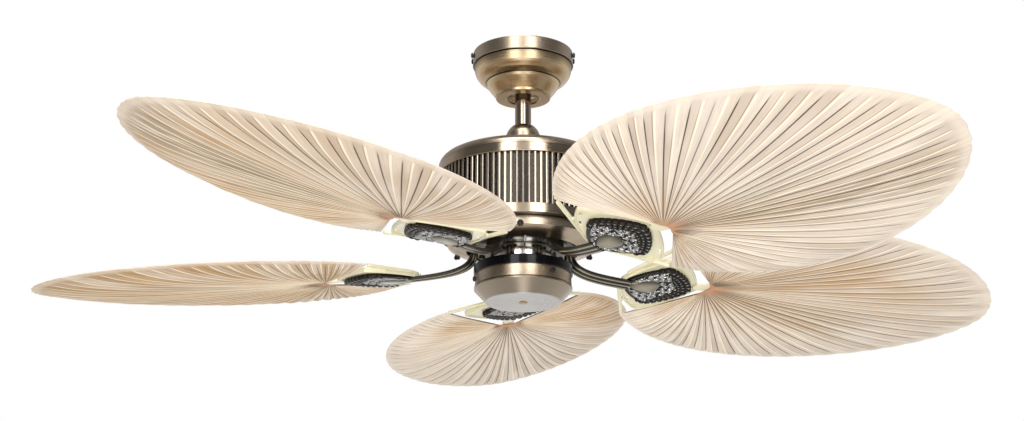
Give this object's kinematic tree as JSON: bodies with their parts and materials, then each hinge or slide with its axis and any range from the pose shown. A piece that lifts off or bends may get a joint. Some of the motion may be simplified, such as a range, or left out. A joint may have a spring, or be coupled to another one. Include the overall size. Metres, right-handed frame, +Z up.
{
  "type": "ceiling fan",
  "caption": "Ceiling fan with an antique brass ribbed motor on a ball-hung downrod, and pitched blades of bleached pleated palm leaf on scrolled blade irons.",
  "frame": {"origin": "middle of the hanger bracket's upper face, where it lies on the ceiling", "axes": "+Z points up into the ceiling, along the fan's axis; -Y is the front that the picture shows, and +X is to the right in it"},
  "size_m": [1.328, 1.3204, 0.3463],
  "materials": {
    "zinc_steel": "zinc plated, dull",
    "antique_brass": "brushed antique brass, satin, clear lacquer",
    "sleeve_brass": "die-cast, ribbed, with a dark aged brass finish, satin",
    "polished": "polished",
    "black_steel": "black oxide, satin",
    "black_gloss": "black, glossy",
    "hanger_plastic": "dark moulded",
    "cast_alloy": "die-cast, matt",
    "laminations": "stacked sheet, oiled",
    "winding": "enamelled copper",
    "bearing_steel": "ground",
    "antique_iron": "antique bronze, dark with rubbed olive-brass high spots",
    "cream_plastic": "ivory moulded plastic, satin",
    "palm": "dried bleached palm leaf, pleated, streaked with tan and green",
    "plug_bronze": "satin bronze",
    "capacitor_case": "moulded black",
    "terminal_plastic": "white moulded"
  },
  "bodies": {
    "ceiling_mount": {"hanger_bracket": "zinc_steel", "canopy": "antique_brass", "canopy_screws": "black_steel"},
    "fan_body": {"hanger_ball": "hanger_plastic", "ball_cross_pin": "zinc_steel", "downrod": "antique_brass", "coupling_cover": "antique_brass", "motor_yoke": "cast_alloy", "clevis_pin": "zinc_steel", "yoke_set_screws": "black_steel", "yoke_screws": "zinc_steel", "housing_top": "antique_brass", "ribbed_sleeve": "sleeve_brass", "housing_bottom": "antique_brass", "housing_stays": "zinc_steel", "housing_screws": "black_steel", "motor_shaft": "zinc_steel", "shaft_circlip": "black_steel", "stator_core": "laminations", "stator_windings": "winding", "switch_plate": "black_gloss", "shaft_nut": "zinc_steel", "switch_cup": "antique_brass", "switch_cup_screws": "black_steel", "centre_plug": "plug_bronze", "run_capacitor": "capacitor_case", "terminal_block": "terminal_plastic"},
    "rotor": {"rotor_upper_shell": "cast_alloy", "rotor_lower_shell": "cast_alloy", "rotor_shell_screws": "zinc_steel", "rotor_cage": "laminations", "upper_bearing": "bearing_steel", "lower_bearing": "bearing_steel", "flywheel": "polished", "flywheel_screws": "black_steel", "iron_screws": "black_steel", "blade_iron_1": "antique_iron", "blade_iron_2": "antique_iron", "blade_iron_3": "antique_iron", "blade_iron_4": "antique_iron", "blade_iron_5": "antique_iron", "blade_frame_1": "cream_plastic", "blade_frame_2": "cream_plastic", "blade_frame_3": "cream_plastic", "blade_frame_4": "cream_plastic", "blade_frame_5": "cream_plastic", "blade_screws": "black_steel", "palm_leaf_1": "palm", "palm_leaf_2": "palm", "palm_leaf_3": "palm", "palm_leaf_4": "palm", "palm_leaf_5": "palm"}
  },
  "joints": [
    {"name": "hanger_swing", "type": "hinge", "parent": "ceiling_mount", "child": "fan_body", "pos_m": [0, 0, -0.034], "axis": [0, 1, 0], "range_deg": [-10, 10]},
    {"name": "rotor_spin", "type": "hinge", "parent": "fan_body", "child": "rotor", "pos_m": [0, 0, -0.2], "axis": [0, 0, 1], "continuous": true}
  ]
}
